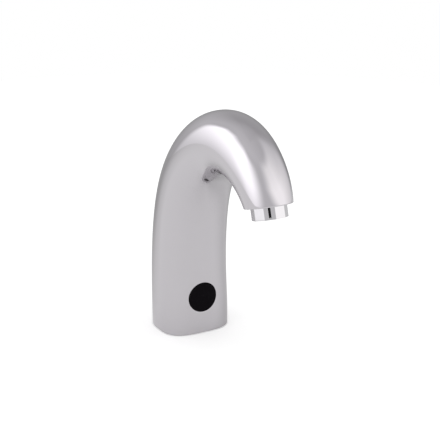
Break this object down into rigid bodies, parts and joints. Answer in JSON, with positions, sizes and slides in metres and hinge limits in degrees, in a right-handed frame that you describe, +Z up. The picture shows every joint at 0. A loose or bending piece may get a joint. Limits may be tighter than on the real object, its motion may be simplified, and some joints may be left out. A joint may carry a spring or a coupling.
{
  "type": "sensor tap",
  "caption": "Deck-mounted basin tap: one arched chrome casting with a black sensor window near its foot, a downward outlet with a screw-in aerator, and a solenoid valve and battery inside.",
  "frame": {"origin": "centre of the foot, on the deck that the tap stands on", "axes": "+Z up, the spout reaches towards -Y, the tap is symmetric outside about the plane X = 0"},
  "size_m": [0.0544, 0.1551, 0.1799],
  "materials": {
    "chrome_casting": "polished chrome plate on a brass casting",
    "chrome_aerator": "polished chrome plate on turned brass",
    "window_black": "gloss black, clear to infrared",
    "black_rubber": "matt black rubber",
    "brass": "turned brass",
    "stainless_steel": "bright stainless steel",
    "plain_iron": "bare soft iron",
    "white_acetal": "natural white acetal",
    "copper_wire": "enamelled copper wire",
    "tinned_brass": "tinned brass",
    "clear_silicone": "milky silicone",
    "black_plastic": "moulded black plastic",
    "diode_clear": "clear epoxy",
    "diode_dark": "dark epoxy",
    "circuit_board": "green solder mask",
    "battery_wrap": "plain shrink wrap",
    "wire_sheath": "red lead sheath"
  },
  "bodies": {
    "root": {"spout_body": "chrome_casting", "sensor_lens": "window_black", "base_gasket": "black_rubber", "inlet_seal": "black_rubber", "valve_diaphragm": "black_rubber", "sensor_seal": "black_rubber", "base_plate": "brass", "inlet_fitting": "brass", "outlet_insert": "brass", "base_screws": "stainless_steel", "bonnet_screws": "stainless_steel", "clamp_screws": "stainless_steel", "chassis_screws": "stainless_steel", "inlet_filter": "stainless_steel", "plunger_spring": "stainless_steel", "tube_clips": "stainless_steel", "fixed_core": "plain_iron", "coil_yoke": "plain_iron", "sensor_clamp": "plain_iron", "valve_body": "white_acetal", "valve_bonnet": "white_acetal", "outlet_elbow": "white_acetal", "coil_bobbin": "white_acetal", "coil_winding": "copper_wire", "coil_terminals": "tinned_brass", "battery_contacts": "tinned_brass", "riser_tube": "clear_silicone", "sensor_case": "black_plastic", "optic_divider": "black_plastic", "sensor_back_cover": "black_plastic", "chassis": "black_plastic", "battery_holder": "black_plastic", "battery_lid": "black_plastic", "infrared_emitter": "diode_clear", "infrared_receiver": "diode_dark", "sensor_board": "circuit_board", "battery": "battery_wrap", "wiring": "wire_sheath"},
    "plunger": {"valve_plunger": "plain_iron", "plunger_seal": "black_rubber"},
    "disc": {"valve_disc": "white_acetal"},
    "aerator_carriage": {"aerator_cartridge": "black_plastic", "aerator_screen": "stainless_steel", "aerator_washer": "black_rubber"},
    "aerator_sleeve": {"aerator_housing": "chrome_aerator"}
  },
  "joints": [
    {"name": "plunger_lift", "type": "slide", "parent": "root", "child": "plunger", "axis": [0, 0, 1], "range_m": [0, 0.0018], "stiffness_N_per_m": 80, "springref_m": -0.006, "deforming": ["plunger_spring"]},
    {"name": "disc_lift", "type": "slide", "parent": "root", "child": "disc", "axis": [0, 0, 1], "range_m": [0, 0.0012], "deforming": ["valve_diaphragm"]},
    {"name": "aerator_travel", "type": "slide", "parent": "root", "child": "aerator_carriage", "axis": [0, -0.2941, -0.9558], "range_m": [0, 0.0045]},
    {"name": "aerator_turn", "type": "hinge", "parent": "aerator_carriage", "child": "aerator_sleeve", "pos_m": [0, -0.1147, 0.1285], "axis": [0, -0.2941, -0.9558], "range_deg": [0, 1620]}
  ],
  "couplings": [
    {"joint": "disc_lift", "follows": "plunger_lift", "ratio": 0.66667},
    {"joint": "aerator_turn", "follows": "aerator_travel", "rad_per_m": 6283.2}
  ]
}
